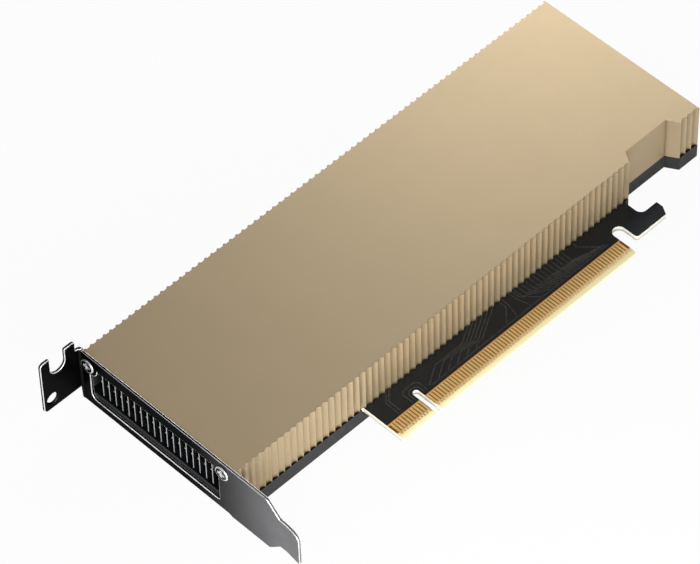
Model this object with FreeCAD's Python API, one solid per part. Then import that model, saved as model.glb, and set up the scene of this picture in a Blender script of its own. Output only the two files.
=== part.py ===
import FreeCAD, Part
import math
import os

# A low-profile, half-length, single-slot passive accelerator card. It lies flat with its
# cooler up. X runs from the slot bracket to the far end, Y from the edge connector to the
# card's long top edge, Z up out of the component side. The origin is at the connector's
# polarising key, on the tongue's lower edge, in the middle of the board's thickness.

# ---------------------------------------------------------------- driving dimensions, mm
# Circuit board
board_thickness = 1.57
board_clearance = 0.15          # board edge to the tray's rim
board_corner = 0.8

# Edge connector
contact_pitch = 1.0
contact_width = 0.70
contact_top = 5.5               # upper end of the contacts, from the tongue's edge
contact_plating = 0.05
contacts_before_key = 11
contacts_after_key = 71
first_contact_distance = 1.5    # key centre to the nearest contact on either side
key_width = 1.9
key_depth = 8.9
tongue_margin = 1.1             # last contact's centre to the tongue's end
tongue_corner = 0.3
bevel_height = 1.2
bevel_depth = 0.42

# Retention hook beyond the connector
latch_slot_width = 3.8
latch_slot_depth = 9.6
hook_bottom = 3.2
hook_top = 7.8
hook_leg = 6.5                  # width of the leg
hook_reach = 5.9                # foot beyond the leg
hook_chamfer_x = 1.4
hook_chamfer_y = 2.4
hook_inner_radius = 1.9
hook_corner = 0.6

# Slot bracket, one bent steel sheet
key_to_bracket = 57.15          # key centre to the bracket's outer face
bracket_sheet = 0.86
bend_radius = 0.5               # inside of the bend
bracket_above_board = 14.6
bracket_below_board = 3.95
bracket_step = 0.5              # the lower end is this much wider below the board
bracket_step_y = 15.4
bracket_step_slope = 1.2
bracket_past_cover = 0.2        # the tab's lower face, beyond the cover's long top side
bracket_lower_end = -9.05
tongue_upper_edge = 10.25       # bracket tongue, above the board's component side
tongue_lower_edge = -0.6
tongue_start = -1.85            # where the upper shoulder ends
tongue_tip_radius = 2.6
tongue_kink_start = -3.9
tongue_kink_offset = 0.6
tab_length = 12.9
tab_bottom = 0.8                # above the board's component side
tab_top = 19.55                 # the outer horn beside the screw notch
inner_horn_top = 19.15
tab_corner = 1.3
tab_relief = 1.3                # relief beside the bend
tab_relief_bottom = 15.5
screw_notch_width = 4.9
screw_notch_centre = 7.3        # from the bracket's outer face
screw_notch_bottom = 12.95
tab_hole_radius = 1.6
tab_hole_sink_radius = 2.15
tab_hole_from_face = 9.8
tab_hole_height = 4.2

# Exhaust window in the bracket
window_low_margin = 6.2         # from the cover's connector side
window_high_margin = 3.1        # from the cover's long top side
window_bottom = -1.25           # from the board's component side
window_top = 11.1
window_round = 1.8
window_tight = 0.6
screw_land_radius = 3.3

# Bracket screws
bracket_screw_low_margin = 4.6  # from the cover's connector side
bracket_screw_high_margin = 2.55    # from the cover's long top side
bracket_screw_height = 11.0
bracket_screw_head_radius = 2.2
bracket_screw_head = 0.5
bracket_screw_chamfer = 0.2
bracket_screw_radius = 1.25
bracket_screw_length = 6.0      # below the head
screw_recess_depth = 0.35
screw_recess_radius = 1.0
thread_clearance = 0.05

# Fluted cover
cover_past_hook_leg = 27.95     # hook's leg to the cover's far end
cover_low_y = 13.5              # the crests of the flutes
cover_width = 55.6
cover_top_above_board = 14.4
cover_bottom_above_board = 0.4
cover_roof = 0.8
cover_wall = 1.8                # from the crests of the flutes to the inside
flute_count = 76
flute_end_land = 0.35           # plain wall before the first flute and after the last
flute_depth = 0.65
flute_chords = 3                # straight sides that follow each flute's arc
notch_flutes = 9
notch_past_hook_leg = 0.5       # least distance; the notch starts at the next land
notch_depth = 3.5
notch_flank = 2.1
boss_half_width = 1.9
bracket_boss_length = 8.0

# Back tray
tray_floor = 1.0
tray_rim = 0.8
tray_below_board = 4.5          # tray's underside below the board's component side
tray_edge_break = 0.3

# Screws that hold tray, board and cover together
tray_screw_radius = 1.0
tray_screw_head_radius = 1.8
tray_screw_grip = 6.0           # thread inside the cover's bosses
tray_screw_columns = 2
first_screw_distance = 13.0     # from the outer face of the bracket
last_screw_distance = 2.8       # from the far end
socket_width = 1.3
socket_depth = 0.5

# Heat sink
fin_count = 18
fin_low_distance = 6.0          # outer fin to the row of tray screws on the connector's side
fin_high_distance = 2.55        # the same on the other side
fin_thickness = 0.3
fin_gap_to_bracket = 0.4
fin_nose_length = 11.0          # the fins reach further down over this length
fin_nose_bottom = 1.0           # above the board
fin_end_distance = 8.0          # from the far end
fin_top_gap = 0.3
base_start = 13.0               # from the bracket's outer face
base_end_distance = 12.0        # from the far end
base_bottom = 2.3
base_thickness = 2.3
base_screw_distance = 2.3       # either long edge to the row of tray screws beside it
pocket_clearance = 0.6
pocket_height = 3.4             # above the board

# Processor package
package_x = 88.0                # from the bracket's outer face
package_size = 37.5
package_thickness = 1.4
die_length = 24.0
die_width = 15.0
die_thickness = 0.8
stiffener_width = 4.0
stiffener_thickness = 0.5
core_screw_gap = 2.45           # package's edge to a screw's centre
core_screw_edge = 0.175         # screw's post to the long edge of the heat sink's base
core_screw_radius = 0.9
core_screw_head_radius = 1.7
core_screw_head = 0.8
clamp_thickness = 0.5
clamp_arm = 5.0
clamp_centre = 18.0             # across the flats of the eight-sided middle
clamp_opening = 10.0

# Memory
memory_length = 14.0
memory_width = 12.0
memory_thickness = 1.1
memory_gap = 5.0                # package edge to chip
memory_row_gap = 0.5            # least gap between two chips in a column
memory_edge = 0.2               # long edge of the heat sink's base to the outer chips

# Power section
inductor_size = 7.0
inductor_height = 3.0
inductor_step = 8.6
inductor_end_distance = 21.0    # from the far end
inductors = 4
second_inductor_x = 30.0
second_inductors = 3
stage_length = 6.0
stage_width = 5.0
stage_thickness = 0.8
stage_gap = 1.6
polymer_length = 7.3
polymer_width = 4.3
polymer_height = 1.9
polymer_x = 22.0
polymer_step = 5.6
polymers = 7
ceramic_length = 2.0
ceramic_width = 1.25
ceramic_height = 0.9
ceramic_step = 2.6
ceramic_gap = 0.75              # memory chips to the row of ceramic capacitors
ceramics = 12
firmware_length = 6.0
firmware_width = 5.0
firmware_thickness = 0.8
firmware_gap = 1.0              # ceramic capacitors to the firmware chip
crystal_length = 3.2
crystal_width = 2.5
crystal_thickness = 0.7
film_thickness = 0.1
same_point = 1e-6               # two points this close are one
smallest_arc = 0.9              # shorter corners are cut straight

# ---------------------------------------------------------------- places worked out from them
board_top = board_thickness / 2
board_bottom = -board_thickness / 2
face_x = -key_to_bracket
sheet_back_x = face_x + bracket_sheet
tongue_low_x = -(first_contact_distance + (contacts_before_key - 1) * contact_pitch + tongue_margin)
tongue_high_x = first_contact_distance + (contacts_after_key - 1) * contact_pitch + tongue_margin
hook_low_x = tongue_high_x + latch_slot_width
leg_high_x = hook_low_x + hook_leg
hook_high_x = leg_high_x + hook_reach
far_x = leg_high_x + cover_past_hook_leg

cover_high_y = cover_low_y + cover_width
middle_y = cover_low_y + cover_width / 2
bracket_upper_end = cover_high_y + bracket_past_cover
cover_top = board_top + cover_top_above_board
cover_bottom = board_top + cover_bottom_above_board
roof_under = cover_top - cover_roof
tray_bottom = board_top - tray_below_board
tray_floor_top = tray_bottom + tray_floor

flute_start_x = sheet_back_x + flute_end_land
flute_pitch = (far_x - flute_end_land - flute_start_x) / flute_count
notch_first_flute = math.ceil((leg_high_x + notch_past_hook_leg - flute_start_x) / flute_pitch)
notch_low_x = flute_start_x + notch_first_flute * flute_pitch
notch_high_x = notch_low_x + notch_flutes * flute_pitch
notch_y = cover_low_y + notch_depth

board_low_y = cover_low_y + tray_rim + board_clearance
board_high_y = cover_high_y - tray_rim - board_clearance
board_low_x = sheet_back_x + tray_rim + board_clearance
board_high_x = far_x - tray_rim - board_clearance

screw_low_y = cover_low_y + cover_wall + boss_half_width
screw_high_y = cover_high_y - cover_wall - boss_half_width
fin_low_y = screw_low_y + fin_low_distance
fin_high_y = screw_high_y - fin_high_distance
fin_pitch = (fin_high_y - fin_low_y) / (fin_count - 1)
base_low_y = screw_low_y + base_screw_distance
base_high_y = screw_high_y - base_screw_distance
base_bottom_z = board_top + base_bottom
base_top_z = base_bottom_z + base_thickness

package_centre_x = face_x + package_x
core_screw_x = package_size / 2 + core_screw_gap
core_screw_y = (base_high_y - base_low_y) / 2 - 2 * core_screw_radius - core_screw_edge
memory_x = package_size / 2 + memory_gap + memory_width / 2
memory_low_y = base_low_y + memory_edge + memory_length / 2
memory_high_y = base_high_y - memory_edge - memory_length / 2
memory_gaps = math.floor((memory_high_y - memory_low_y) / (memory_length + memory_row_gap))
ceramic_x = package_centre_x - memory_x - memory_width / 2 - ceramic_gap - ceramic_length / 2
firmware_x = ceramic_x - ceramic_length / 2 - firmware_gap - firmware_length / 2

X = FreeCAD.Vector(1, 0, 0)
Y = FreeCAD.Vector(0, 1, 0)
Z = FreeCAD.Vector(0, 0, 1)


# ---------------------------------------------------------------- shape helpers
def in_plan(u, v):
    """A point of an outline drawn in the XY plane."""
    return FreeCAD.Vector(u, v, 0)


def in_front(u, v):
    """A point of an outline drawn in the YZ plane: u along Y, v along Z."""
    return FreeCAD.Vector(0, u, v)


def on_tab(u, v):
    """A point of an outline drawn in the XZ plane: u outwards from the bracket, v along Z."""
    return FreeCAD.Vector(face_x - u, 0, v)


def rounded_face(corners, place):
    """A flat face from its corners (u, v, radius), each corner rounded by a tangent arc.

    The smallest corners are cut straight: an arc would not show there.
    """
    edges = []
    ends = []
    count = len(corners)
    for index, (u, v, radius) in enumerate(corners):
        corner = FreeCAD.Vector(u, v, 0)
        back = FreeCAD.Vector(*corners[index - 1][:2], 0) - corner
        ahead = FreeCAD.Vector(*corners[(index + 1) % count][:2], 0) - corner
        back.normalize()
        ahead.normalize()
        if radius == 0:
            ends.append((corner, corner, corner))
            continue
        half_angle = back.getAngle(ahead) / 2
        reach = radius / math.tan(half_angle)
        inward = back + ahead
        inward.normalize()
        centre = corner + inward * (radius / math.sin(half_angle))
        ends.append((corner + back * reach, centre - inward * radius, corner + ahead * reach))
    for index, (start, middle, end) in enumerate(ends):
        if (end - start).Length > smallest_arc:
            points = [place(p.x, p.y) for p in (start, middle, end)]
            edges.append(Part.Arc(*points).toShape())
        elif (end - start).Length > same_point:
            edges.append(Part.makeLine(place(start.x, start.y), place(end.x, end.y)))
        following = ends[(index + 1) % count][0]
        if (following - end).Length > same_point:
            edges.append(Part.makeLine(place(end.x, end.y), place(following.x, following.y)))
    return Part.Face(Part.Wire(edges))


def plate(corners, low_z, high_z):
    """A flat plate with rounded corners, between two heights."""
    face = rounded_face(corners, in_plan)
    face.translate(Z * low_z)
    return face.extrude(Z * (high_z - low_z))


def block(low_x, high_x, low_y, high_y, low_z, high_z):
    corner = FreeCAD.Vector(low_x, low_y, low_z)
    return Part.makeBox(high_x - low_x, high_y - low_y, high_z - low_z, corner)


def centred_block(x, y, length, width, low_z, high_z):
    return block(x - length / 2, x + length / 2, y - width / 2, y + width / 2, low_z, high_z)


def post(x, y, radius, low_z, high_z):
    return Part.makeCylinder(radius, high_z - low_z, FreeCAD.Vector(x, y, low_z), Z)


def prism(x, y, across, sides, low_z, high_z):
    """An upright prism with a regular polygon for its plan, so wide across its flats."""
    reach = across / 2 / math.cos(math.pi / sides)
    corners = []
    for index in range(sides + 1):
        angle = 2 * math.pi * index / sides
        corners.append(FreeCAD.Vector(x + reach * math.cos(angle), y + reach * math.sin(angle), low_z))
    return Part.Face(Part.makePolygon(corners)).extrude(Z * (high_z - low_z))


def save(name, shapes):
    """One STEP file for a node: one solid, or several equal ones side by side."""
    shape = shapes[0] if len(shapes) == 1 else Part.makeCompound(shapes)
    shape.exportStep("parts/" + name + ".step")


# ---------------------------------------------------------------- places used by several pieces
def tray_screw_places():
    first_x = face_x + first_screw_distance
    step = (far_x - last_screw_distance - first_x) / (tray_screw_columns - 1)
    for column in range(tray_screw_columns):
        for y in (screw_low_y, screw_high_y):
            yield first_x + column * step, y


def core_screw_places():
    for side_x in (-1, 1):
        for side_y in (-1, 1):
            yield package_centre_x + side_x * core_screw_x, middle_y + side_y * core_screw_y


def bracket_screw_places():
    height = board_top + bracket_screw_height
    return [(cover_low_y + bracket_screw_low_margin, height),
            (cover_high_y - bracket_screw_high_margin, height)]


def inductor_places():
    columns = ((far_x - inductor_end_distance, inductors),
               (face_x + second_inductor_x, second_inductors))
    for column_x, count in columns:
        for index in range(count):
            yield column_x, middle_y + (index - (count - 1) / 2) * inductor_step


def memory_places():
    step = (memory_high_y - memory_low_y) / memory_gaps
    for side in (-1, 1):
        for row in range(memory_gaps + 1):
            yield package_centre_x + side * memory_x, memory_low_y + row * step


def contact_places():
    for index in range(contacts_before_key):
        yield -(first_contact_distance + index * contact_pitch)
    for index in range(contacts_after_key):
        yield first_contact_distance + index * contact_pitch


# ---------------------------------------------------------------- circuit board and connector
def circuit_board():
    half_key = key_width / 2
    half_slot = latch_slot_width / 2
    board_notch_y = notch_y + tray_rim + board_clearance
    board_notch_x = notch_high_x + tray_rim + board_clearance
    corners = [
        (board_low_x, board_low_y, 0),
        (tongue_low_x, board_low_y, board_corner),
        (tongue_low_x, 0, tongue_corner),
        (-half_key, 0, tongue_corner),
        (-half_key, key_depth, half_key),
        (half_key, key_depth, half_key),
        (half_key, 0, tongue_corner),
        (tongue_high_x, 0, tongue_corner),
        (tongue_high_x, latch_slot_depth, half_slot),
        (hook_low_x, latch_slot_depth, half_slot),
        (hook_low_x, hook_bottom, hook_corner),
        (hook_high_x - hook_chamfer_x, hook_bottom, 0),
        (hook_high_x, hook_bottom + hook_chamfer_y, 0),
        (hook_high_x, hook_top, 0),
        (leg_high_x, hook_top, hook_inner_radius),
        (leg_high_x, board_notch_y, board_corner),
        (board_notch_x, board_notch_y, board_corner),
        (board_notch_x, board_low_y, board_corner),
        (board_high_x, board_low_y, 0),
        (board_high_x, board_high_y, 0),
        (board_low_x, board_high_y, 0),
    ]
    board = plate(corners, board_bottom, board_top)
    for side in (-1, 1):
        tip = side * board_top
        bevel = rounded_face([(0, tip, 0), (bevel_height, tip, 0), (0, tip - side * bevel_depth, 0)],
                             in_front)
        bevel.translate(X * tongue_low_x)
        board = board.cut(bevel.extrude(X * (tongue_high_x - tongue_low_x)))
    for x, y in tray_screw_places():
        board = board.cut(post(x, y, tray_screw_radius + thread_clearance, board_bottom, board_top))
    for x, y in core_screw_places():
        board = board.cut(post(x, y, core_screw_radius + thread_clearance, board_bottom, board_top))
    return board


def contacts(low_z):
    return [block(x - contact_width / 2, x + contact_width / 2, bevel_height, contact_top,
                  low_z, low_z + contact_plating) for x in contact_places()]


# ---------------------------------------------------------------- slot bracket
def bracket_sheet_profile():
    """The bent sheet seen from above: tab, bend, plate and the kinked tongue."""
    kink_x = face_x - tongue_kink_offset
    return rounded_face([
        (face_x - tab_length, bracket_upper_end, 0),
        (face_x, bracket_upper_end, bend_radius),
        (face_x, tongue_kink_start, 0),
        (kink_x, bracket_lower_end, 0),
        (kink_x + bracket_sheet, bracket_lower_end, 0),
        (sheet_back_x, tongue_kink_start, 0),
        (sheet_back_x, bracket_upper_end + bracket_sheet, bend_radius + bracket_sheet),
        (face_x - tab_length, bracket_upper_end + bracket_sheet, 0),
    ], in_plan)


def bracket_front_outline():
    """The plate and tongue seen from outside the chassis."""
    top = board_top + bracket_above_board
    bottom = board_top - bracket_below_board
    step_bottom = bottom - bracket_step
    upper = board_top + tongue_upper_edge
    lower = board_top + tongue_lower_edge
    return rounded_face([
        (bracket_upper_end, bottom, board_corner),
        (bracket_step_y + bracket_step_slope, bottom, 0),
        (bracket_step_y, step_bottom, 0),
        (tongue_start + lower - step_bottom, step_bottom, tongue_corner),
        (tongue_start, lower, tongue_corner),
        (bracket_lower_end, lower, board_corner),
        (bracket_lower_end, upper, tongue_tip_radius),
        (tongue_start, upper, board_corner),
        (tongue_start + top - upper, top, board_corner),
        (bracket_upper_end, top, tongue_corner),
    ], in_front)


def tab_outline():
    """The tab seen along Y, with its open screw notch and the relief beside the bend."""
    low = board_top + tab_bottom
    high = board_top + tab_top
    inner_high = board_top + inner_horn_top
    notch_in = screw_notch_centre - screw_notch_width / 2
    notch_out = screw_notch_centre + screw_notch_width / 2
    notch_low = board_top + screw_notch_bottom
    relief = board_top + tab_relief_bottom
    return rounded_face([
        (-bracket_sheet, low, 0),
        (tab_length, low, tab_corner),
        (tab_length, high, tab_corner),
        (notch_out, high, tongue_corner),
        (notch_out, notch_low, screw_notch_width / 2),
        (notch_in, notch_low, screw_notch_width / 2),
        (notch_in, inner_high, tongue_corner),
        (tab_relief, inner_high, board_corner),
        (tab_relief, relief, tongue_corner),
        (-bracket_sheet, relief, 0),
    ], on_tab)


def exhaust_window():
    low_y = cover_low_y + window_low_margin
    high_y = cover_high_y - window_high_margin
    bottom = board_top + window_bottom
    top = board_top + window_top
    face = rounded_face([
        (low_y, bottom, window_tight),
        (high_y, bottom, window_round),
        (high_y, top, window_tight),
        (low_y, top, window_tight),
    ], in_front)
    face.translate(X * (face_x - bracket_sheet))
    window = face.extrude(X * 3 * bracket_sheet)
    for y, z in bracket_screw_places():
        start = FreeCAD.Vector(face_x - bracket_sheet, y, z)
        window = window.cut(Part.makeCylinder(screw_land_radius, 3 * bracket_sheet, start, X))
    return window


def io_bracket():
    profile = bracket_sheet_profile()
    low = board_top - bracket_below_board - bracket_step
    profile.translate(Z * low)
    sheet = profile.extrude(Z * (board_top + tab_top - low))
    front = bracket_front_outline()
    front.translate(X * (face_x - tongue_kink_offset))
    front = front.extrude(X * (tongue_kink_offset + bracket_sheet))
    tab = tab_outline()
    bend_start = bracket_upper_end - bend_radius
    tab.translate(Y * bend_start)
    tab = tab.extrude(Y * (bend_radius + bracket_sheet))
    bracket = sheet.common(front.fuse(tab))
    bracket = bracket.cut(exhaust_window())
    for y, z in bracket_screw_places():
        start = FreeCAD.Vector(face_x, y, z)
        radius = bracket_screw_radius + thread_clearance
        bracket = bracket.cut(Part.makeCylinder(radius, bracket_sheet, start, X))
    hole = FreeCAD.Vector(face_x - tab_hole_from_face, bracket_upper_end, board_top + tab_hole_height)
    bracket = bracket.cut(Part.makeCylinder(tab_hole_radius, bracket_sheet, hole, Y))
    sink = tab_hole_sink_radius - tab_hole_radius
    bracket = bracket.cut(Part.makeCone(tab_hole_sink_radius, tab_hole_radius, sink, hole, Y))
    return bracket.removeSplitter()


def bracket_screws():
    """Round-headed machine screws with a cross recess, from the bracket into the cover."""
    screws = []
    for y, z in bracket_screw_places():
        seat = FreeCAD.Vector(face_x, y, z)
        head = Part.makeCylinder(bracket_screw_head_radius, bracket_screw_head, seat, X * -1)
        rim = head.Edges[0] if head.Edges[0].CenterOfMass.x < face_x else head.Edges[-1]
        head = head.makeChamfer(bracket_screw_chamfer, [rim])
        shank = Part.makeCylinder(bracket_screw_radius, bracket_screw_length, seat, X)
        screw = head.fuse(shank)
        top_x = face_x - bracket_screw_head
        for width, height in ((screw_recess_radius, screw_recess_radius / 4),
                              (screw_recess_radius / 4, screw_recess_radius)):
            screw = screw.cut(block(top_x, top_x + screw_recess_depth, y - width, y + width,
                                    z - height, z + height))
        screws.append(screw)
    return screws


# ---------------------------------------------------------------- fluted cover
def flute_run(first, count, wall_y, inward):
    """Points along a row of concave flutes that meet in crests, from low X to high X.

    Each flute is a circle's arc, followed by a few chords: there are many flutes, and each
    one is too small for the difference to show.
    """
    points = []
    half_width = flute_pitch / 2
    radius = (half_width ** 2 + flute_depth ** 2) / (2 * flute_depth)
    half_angle = math.asin(half_width / radius)
    for index in range(first, first + count):
        middle_x = flute_start_x + (index + 0.5) * flute_pitch
        centre_y = wall_y - inward * (radius - flute_depth)
        for chord in range(flute_chords):
            angle = half_angle * (2 * chord / flute_chords - 1)
            points.append(in_plan(middle_x + radius * math.sin(angle),
                                  centre_y + inward * radius * math.cos(angle)))
    points.append(in_plan(flute_start_x + (first + count) * flute_pitch, wall_y))
    return points


def cover_outline():
    """The cover seen from above, with flutes along both long sides and one notch."""
    notch_end = notch_first_flute + notch_flutes
    points = [in_plan(sheet_back_x, cover_low_y)]
    points += flute_run(0, notch_first_flute, cover_low_y, 1)
    points += [in_plan(notch_low_x + notch_flank, notch_y),
               in_plan(notch_high_x - notch_flank, notch_y)]
    points += flute_run(notch_end, flute_count - notch_end, cover_low_y, 1)
    points += [in_plan(far_x, cover_low_y), in_plan(far_x, cover_high_y)]
    points += reversed(flute_run(0, flute_count, cover_high_y, -1))
    points += [in_plan(sheet_back_x, cover_high_y), points[0]]
    return Part.Face(Part.makePolygon(points))


def inner_outline(wall, end_margin):
    """The cavity's plan: the outer plan less a wall, notch and all."""
    low_y = cover_low_y + wall
    inner_notch_y = notch_y + wall
    return [
        (sheet_back_x + end_margin, low_y, 0),
        (notch_low_x - wall, low_y, 0),
        (notch_low_x + notch_flank - wall, inner_notch_y, 0),
        (notch_high_x - notch_flank + wall, inner_notch_y, 0),
        (notch_high_x + wall, low_y, 0),
        (far_x - end_margin, low_y, 0),
        (far_x - end_margin, cover_high_y - wall, 0),
        (sheet_back_x + end_margin, cover_high_y - wall, 0),
    ]


def cover():
    face = cover_outline()
    face.translate(Z * cover_bottom)
    shell = face.extrude(Z * (cover_top - cover_bottom))
    shell = shell.cut(plate(inner_outline(cover_wall, 0), cover_bottom, roof_under))
    for x, y in tray_screw_places():
        wall_side = -1 if y < middle_y else 1
        wall_y = y + wall_side * (boss_half_width + flute_depth / 2)
        inner_y = y - wall_side * boss_half_width
        boss = block(x - boss_half_width, x + boss_half_width, min(inner_y, wall_y),
                     max(inner_y, wall_y), board_top, roof_under + cover_roof / 2)
        shell = shell.fuse(boss)
    for y, z in bracket_screw_places():
        wall_side = -1 if y < middle_y else 1
        wall_y = middle_y + wall_side * (cover_width / 2 - cover_wall / 2)
        inner_y = y - wall_side * (bracket_screw_radius + cover_wall / 2)
        low_z = z - bracket_screw_radius - cover_wall / 2
        lug = block(sheet_back_x, sheet_back_x + bracket_boss_length, min(inner_y, wall_y),
                    max(inner_y, wall_y), low_z, roof_under + cover_roof / 2)
        shell = shell.fuse(lug)
    for x, y in tray_screw_places():
        hole = post(x, y, tray_screw_radius + thread_clearance, board_top, board_top + tray_screw_grip)
        shell = shell.cut(hole)
    for y, z in bracket_screw_places():
        start = FreeCAD.Vector(sheet_back_x, y, z)
        radius = bracket_screw_radius + thread_clearance
        shell = shell.cut(Part.makeCylinder(radius, bracket_screw_length, start, X))
    return shell


# ---------------------------------------------------------------- back tray
def back_tray():
    """Floor and rim in one piece; the rim drops to the board's underside at the connector."""
    notch_corners = [
        (sheet_back_x, cover_low_y, 0),
        (notch_low_x, cover_low_y, 0),
        (notch_low_x + notch_flank, notch_y, 0),
        (notch_high_x - notch_flank, notch_y, 0),
        (notch_high_x, cover_low_y, 0),
        (far_x, cover_low_y, 0),
        (far_x, cover_high_y, 0),
        (sheet_back_x, cover_high_y, 0),
    ]
    tray = plate(notch_corners, tray_bottom, cover_bottom)
    lower_edges = [edge for edge in tray.Edges if abs(edge.BoundBox.ZMax - tray_bottom) < same_point]
    tray = tray.makeChamfer(tray_edge_break, lower_edges)
    tray = tray.cut(plate(inner_outline(tray_rim, tray_rim), tray_floor_top, cover_bottom))
    mouth = block(tongue_low_x - board_corner - board_clearance, leg_high_x + board_clearance,
                  cover_low_y, cover_low_y + tray_rim, board_bottom, cover_bottom)
    tray = tray.cut(mouth)
    for x, y in tray_screw_places():
        tray = tray.fuse(prism(x, y, 2 * boss_half_width, 6, tray_floor_top, board_bottom))
    for x, y in tray_screw_places():
        tray = tray.cut(countersunk_post(x, y, thread_clearance, board_bottom))
    return tray


def countersunk_post(x, y, clearance, high_z):
    """A flat-headed screw's shape, head down in the tray's underside."""
    head_radius = tray_screw_head_radius + clearance
    shank_radius = tray_screw_radius + clearance
    head = Part.makeCone(head_radius, shank_radius, head_radius - shank_radius,
                         FreeCAD.Vector(x, y, tray_bottom), Z)
    return head.fuse(post(x, y, shank_radius, tray_bottom, high_z)).removeSplitter()


def tray_screws():
    """Flat-headed screws with a hexagon socket, from the tray's underside into the cover."""
    screws = []
    for x, y in tray_screw_places():
        screw = countersunk_post(x, y, 0, board_top + tray_screw_grip)
        socket = prism(x, y, socket_width, 6, tray_bottom, tray_bottom + socket_depth)
        screws.append(screw.cut(socket))
    return screws


def insulating_film():
    """A plain sheet on the tray's floor, between the two rows of bosses."""
    margin = tray_rim + board_clearance
    return block(sheet_back_x + margin, far_x - margin, screw_low_y + boss_half_width + board_clearance,
                 screw_high_y - boss_half_width - board_clearance, tray_floor_top,
                 tray_floor_top + film_thickness)


# ---------------------------------------------------------------- heat sink
def heatsink_fins():
    """Thin plates; over the bare board behind the bracket each reaches further down."""
    front = sheet_back_x + fin_gap_to_bracket
    back = far_x - fin_end_distance
    top = roof_under - fin_top_gap
    fins = []
    for index in range(fin_count):
        low_y = fin_low_y + index * fin_pitch - fin_thickness / 2
        upper = block(front, back, low_y, low_y + fin_thickness, base_top_z, top)
        nose = block(front, front + fin_nose_length, low_y, low_y + fin_thickness,
                     board_top + fin_nose_bottom, base_top_z)
        fins.append(upper.fuse(nose).removeSplitter())
    return fins


def heatsink_base():
    base = block(face_x + base_start, far_x - base_end_distance, base_low_y, base_high_y,
                 base_bottom_z, base_top_z)
    pocket = inductor_size + 2 * pocket_clearance
    for x, y in inductor_places():
        base = base.cut(centred_block(x, y, pocket, pocket, base_bottom_z, board_top + pocket_height))
    for x, y in core_screw_places():
        base = base.fuse(prism(x, y, 4 * core_screw_radius, 6, board_top, base_bottom_z))
    for x, y in core_screw_places():
        base = base.cut(post(x, y, core_screw_radius + thread_clearance, board_top,
                             base_bottom_z + base_thickness / 2))
    return base


# ---------------------------------------------------------------- electronics
def gpu_parts():
    """Package, die, stiffener ring and paste, stacked from the board up."""
    x = package_centre_x
    y = middle_y
    package_top = board_top + package_thickness
    die_top = package_top + die_thickness
    package = centred_block(x, y, package_size, package_size, board_top, package_top)
    die = centred_block(x, y, die_length, die_width, package_top, die_top)
    inside = package_size - 2 * stiffener_width
    ring = centred_block(x, y, package_size, package_size, package_top,
                         package_top + stiffener_thickness)
    ring = ring.cut(centred_block(x, y, inside, inside, package_top,
                                  package_top + stiffener_thickness))
    paste = centred_block(x, y, die_length, die_width, die_top, base_bottom_z)
    return package, die, ring, paste


def core_clamp():
    """The sprung cross under the processor."""
    top = board_bottom
    bottom = top - clamp_thickness
    clamp = prism(package_centre_x, middle_y, clamp_centre, 8, bottom, top)
    for side in (-1, 1):
        reach = 2 * math.hypot(core_screw_x, core_screw_y) + clamp_arm
        arm = centred_block(0, 0, reach, clamp_arm, bottom, top)
        arm.rotate(FreeCAD.Vector(0, 0, 0), Z, side * math.degrees(math.atan2(core_screw_y, core_screw_x)))
        arm.translate(in_plan(package_centre_x, middle_y))
        clamp = clamp.fuse(arm)
    clamp = clamp.cut(prism(package_centre_x, middle_y, clamp_opening, 8, bottom, top))
    for x, y in core_screw_places():
        clamp = clamp.cut(post(x, y, core_screw_radius + thread_clearance, bottom, top))
    return clamp.removeSplitter()


def core_screws():
    screws = []
    seat = board_bottom - clamp_thickness
    for x, y in core_screw_places():
        head = post(x, y, core_screw_head_radius, seat - core_screw_head, seat)
        shank = post(x, y, core_screw_radius, seat, base_bottom_z + base_thickness / 2)
        screws.append(head.fuse(shank))
    return screws


def power_stages():
    stages = []
    for x, y in inductor_places():
        inward = 1 if x < package_centre_x else -1
        stage_x = x + inward * (inductor_size / 2 + stage_gap + stage_width / 2)
        stages.append(centred_block(stage_x, y, stage_width, stage_length, board_top,
                                    board_top + stage_thickness))
    return stages


def pads_over(chips, thickness):
    """Thermal pads that fill the gap from each chip to the heat sink's base."""
    pads = []
    for chip in chips:
        box = chip.BoundBox
        pads.append(block(box.XMin, box.XMax, box.YMin, box.YMax, board_top + thickness,
                          base_bottom_z))
    return pads


def row_of_chips(x, count, step, length, width, height):
    """A line of equal small parts along Y, centred on the card."""
    return [centred_block(x, middle_y + (index - (count - 1) / 2) * step, length, width,
                          board_top, board_top + height) for index in range(count)]


# ---------------------------------------------------------------- one file for each node
os.makedirs("parts", exist_ok=True)

save("io_bracket", [io_bracket()])
save("bracket_screws", bracket_screws())
save("cover", [cover()])
save("back_tray", [back_tray()])
save("tray_screws", tray_screws())
save("insulating_film", [insulating_film()])
save("circuit_board", [circuit_board()])
save("contacts_front", contacts(board_top))
save("contacts_back", contacts(board_bottom - contact_plating))
save("heatsink_fins", heatsink_fins())
save("heatsink_base", [heatsink_base()])

package, die, ring, paste = gpu_parts()
save("gpu_package", [package])
save("gpu_die", [die])
save("gpu_stiffener", [ring])
save("thermal_paste", [paste])
save("core_clamp", [core_clamp()])
save("core_screws", core_screws())

memory = [centred_block(x, y, memory_width, memory_length, board_top, board_top + memory_thickness)
          for x, y in memory_places()]
save("memory_chips", memory)
save("memory_pads", pads_over(memory, memory_thickness))

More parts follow.
